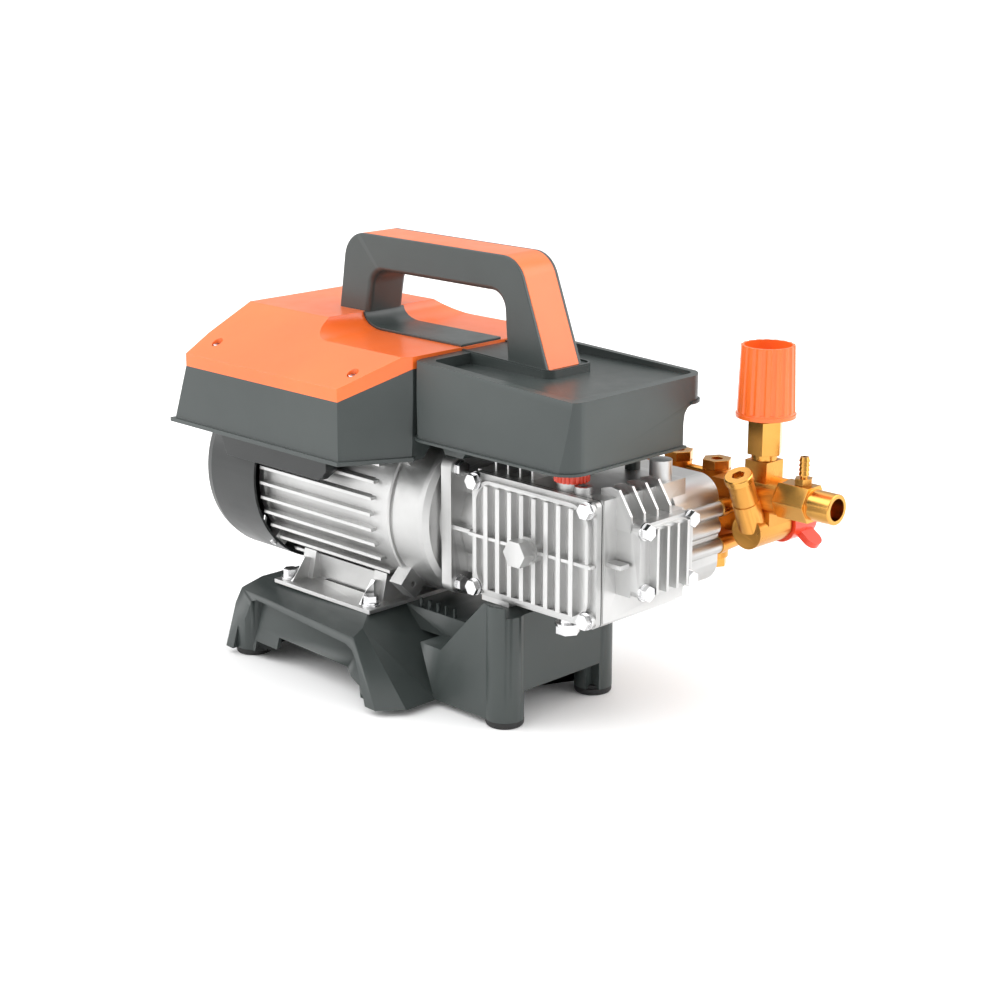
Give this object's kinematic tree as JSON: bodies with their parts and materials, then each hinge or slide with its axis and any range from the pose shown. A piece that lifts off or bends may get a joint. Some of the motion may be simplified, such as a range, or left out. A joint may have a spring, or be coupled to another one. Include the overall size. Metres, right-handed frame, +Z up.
{
  "type": "pressure washer pump",
  "caption": "Portable electric high-pressure water pump: induction motor, crank-driven plunger pump, brass head with unloader, handle and plastic base.",
  "frame": {"origin": "on the floor under the middle of the bounding box", "axes": "+X along the motor shaft from the fan cowl to the water outlet, +Y from the crankcase cover to the brass head, +Z up"},
  "size_m": [0.489, 0.26, 0.3315],
  "materials": {
    "dark_plastic": "fine moulded texture",
    "frame_plastic": "moulded texture",
    "black_plastic": "satin",
    "orange_plastic": "satin",
    "red_plastic": "satin",
    "cast_aluminium": "as cast",
    "zinc_steel": "bright zinc",
    "ground_steel": "ground",
    "lamination": "varnished",
    "copper": "enamelled",
    "bronze": "machined",
    "ceramic": "ground",
    "brass": "cast and machined",
    "brass_turned": "turned",
    "rubber": "moulded",
    "seal_rubber": "moulded",
    "can": "drawn"
  },
  "bodies": {
    "machine": {"base_frame": "frame_plastic", "rubber_feet": "rubber", "motor_housing": "cast_aluminium", "foot_bracket": "cast_aluminium", "foot_bolts": "zinc_steel", "stator_core": "lamination", "stator_windings": "copper", "front_end_bell": "cast_aluminium", "rear_end_bell": "cast_aluminium", "fan_cowl": "black_plastic", "panel_screws": "zinc_steel", "case_saddles": "black_plastic", "electrical_case": "dark_plastic", "case_cover": "orange_plastic", "capacitor": "can", "switch_body": "black_plastic", "cable_gland": "black_plastic", "pump_cover": "dark_plastic", "handle_grip": "dark_plastic", "handle_band": "orange_plastic", "saddle_strip": "dark_plastic", "crankcase": "cast_aluminium", "crankcase_cover": "cast_aluminium", "cover_gasket": "rubber", "crankcase_bolts": "zinc_steel", "centre_plug": "cast_aluminium", "drain_plug": "zinc_steel", "end_cover": "cast_aluminium", "shaft_bearings": "ground_steel", "plunger_seals": "seal_rubber", "pump_head": "brass", "head_bolts": "zinc_steel", "valve_plugs": "brass_turned", "unloader_body": "brass", "regulator_bonnet": "brass_turned", "regulator_spring": "ground_steel", "inclined_plug": "brass_turned", "outlet_nipple": "brass_turned", "hose_barb": "brass_turned"},
    "rotor": {"motor_shaft": "ground_steel", "rotor_core": "lamination", "cooling_fan": "black_plastic", "crankshaft": "ground_steel"},
    "rod_1": {"conrod_1": "bronze"},
    "rod_2": {"conrod_2": "bronze"},
    "rod_3": {"conrod_3": "bronze"},
    "plunger_body_1": {"plunger_1": "ceramic"},
    "plunger_body_2": {"plunger_2": "ceramic"},
    "plunger_body_3": {"plunger_3": "ceramic"},
    "suction_body_1": {"suction_valve_1": "ground_steel"},
    "suction_body_2": {"suction_valve_2": "ground_steel"},
    "suction_body_3": {"suction_valve_3": "ground_steel"},
    "delivery_body_1": {"delivery_valve_1": "ground_steel"},
    "delivery_body_2": {"delivery_valve_2": "ground_steel"},
    "delivery_body_3": {"delivery_valve_3": "ground_steel"},
    "seat_body": {"spring_seat": "ground_steel"},
    "knob_body": {"pressure_knob": "orange_plastic"},
    "oil_cap_body": {"oil_cap": "red_plastic"},
    "rocker_body": {"switch_rocker": "red_plastic"},
    "inlet_nut_body": {"inlet_wing_nut": "red_plastic"}
  },
  "joints": [
    {"name": "shaft_spin", "type": "hinge", "parent": "machine", "child": "rotor", "pos_m": [0.0925, -0.012, 0.137], "axis": [1, 0, 0], "continuous": true},
    {"name": "rod_1_turn", "type": "hinge", "parent": "rotor", "child": "rod_1", "pos_m": [0.0565, -0.012, 0.142], "axis": [1, 0, 0], "continuous": true},
    {"name": "rod_2_turn", "type": "hinge", "parent": "rotor", "child": "rod_2", "pos_m": [0.0925, -0.01633, 0.1345], "axis": [1, 0, 0], "continuous": true},
    {"name": "rod_3_turn", "type": "hinge", "parent": "rotor", "child": "rod_3", "pos_m": [0.1285, -0.00767, 0.1345], "axis": [1, 0, 0], "continuous": true},
    {"name": "plunger_1_stroke", "type": "slide", "parent": "machine", "child": "plunger_body_1", "axis": [0, 1, 0], "range_m": [-0.005, 0.005]},
    {"name": "plunger_2_stroke", "type": "slide", "parent": "machine", "child": "plunger_body_2", "axis": [0, 1, 0], "range_m": [-0.00067, 0.00933]},
    {"name": "plunger_3_stroke", "type": "slide", "parent": "machine", "child": "plunger_body_3", "axis": [0, 1, 0], "range_m": [-0.00933, 0.00067]},
    {"name": "suction_1_lift", "type": "slide", "parent": "machine", "child": "suction_body_1", "axis": [0, 0, 1], "range_m": [0, 0.002]},
    {"name": "suction_2_lift", "type": "slide", "parent": "machine", "child": "suction_body_2", "axis": [0, 0, 1], "range_m": [0, 0.002]},
    {"name": "suction_3_lift", "type": "slide", "parent": "machine", "child": "suction_body_3", "axis": [0, 0, 1], "range_m": [0, 0.002]},
    {"name": "delivery_1_lift", "type": "slide", "parent": "machine", "child": "delivery_body_1", "axis": [0, 0, 1], "range_m": [0, 0.002]},
    {"name": "delivery_2_lift", "type": "slide", "parent": "machine", "child": "delivery_body_2", "axis": [0, 0, 1], "range_m": [0, 0.002]},
    {"name": "delivery_3_lift", "type": "slide", "parent": "machine", "child": "delivery_body_3", "axis": [0, 0, 1], "range_m": [0, 0.002]},
    {"name": "seat_travel", "type": "slide", "parent": "machine", "child": "seat_body", "axis": [0, 0, 1], "range_m": [-0.0032, 0.0032], "deforming": ["regulator_spring"]},
    {"name": "knob_turn", "type": "hinge", "parent": "seat_body", "child": "knob_body", "pos_m": [0.1808, 0.0837, 0.24], "axis": [0, 0, 1], "range_deg": [-720, 720]},
    {"name": "oil_cap_lift", "type": "slide", "parent": "machine", "child": "oil_cap_body", "axis": [0, 0, 1], "range_m": [0, 0.02]},
    {"name": "rocker_tilt", "type": "hinge", "parent": "machine", "child": "rocker_body", "pos_m": [-0.0995, 0.098, 0.21], "axis": [1, 0, 0], "range_deg": [-14, 0]},
    {"name": "inlet_nut_spin", "type": "hinge", "parent": "machine", "child": "inlet_nut_body", "pos_m": [0.1808, 0.118, 0.141], "axis": [0, 1, 0], "continuous": true}
  ],
  "couplings": [
    {"joint": "rod_1_turn", "follows": "shaft_spin", "ratio": -1},
    {"joint": "rod_2_turn", "follows": "shaft_spin", "ratio": -1},
    {"joint": "rod_3_turn", "follows": "shaft_spin", "ratio": -1},
    {"joint": "seat_travel", "follows": "knob_turn", "m_per_rad": 0.00023873}
  ]
}
